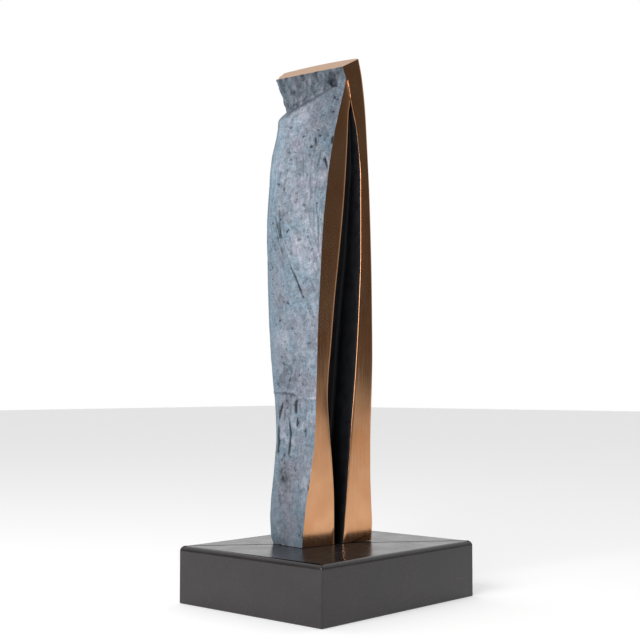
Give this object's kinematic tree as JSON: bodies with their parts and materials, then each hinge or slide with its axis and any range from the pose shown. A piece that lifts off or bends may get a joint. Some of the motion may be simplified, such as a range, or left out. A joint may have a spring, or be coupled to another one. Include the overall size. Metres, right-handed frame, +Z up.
{
  "type": "abstract bronze sculpture",
  "caption": "Tall twisted column of cast bronze with a polished split front, a rough patinated side and an undercut head, on a rectangular dark stone plinth.",
  "frame": {"origin": "centre of the plinth's underside", "axes": "+Z up along the column, the polished front faces -Y, +X to the right of the front"},
  "size_m": [0.164, 0.136, 0.3949],
  "materials": {
    "bronze": "cast bronze, rough grey-blue patina on the broad side and back, mirror polish on the front and the top cut",
    "stone": "dark dense stone, satin polish"
  },
  "bodies": {
    "root": {"bronze_column": "bronze", "stone_plinth": "stone"}
  },
  "joints": []
}
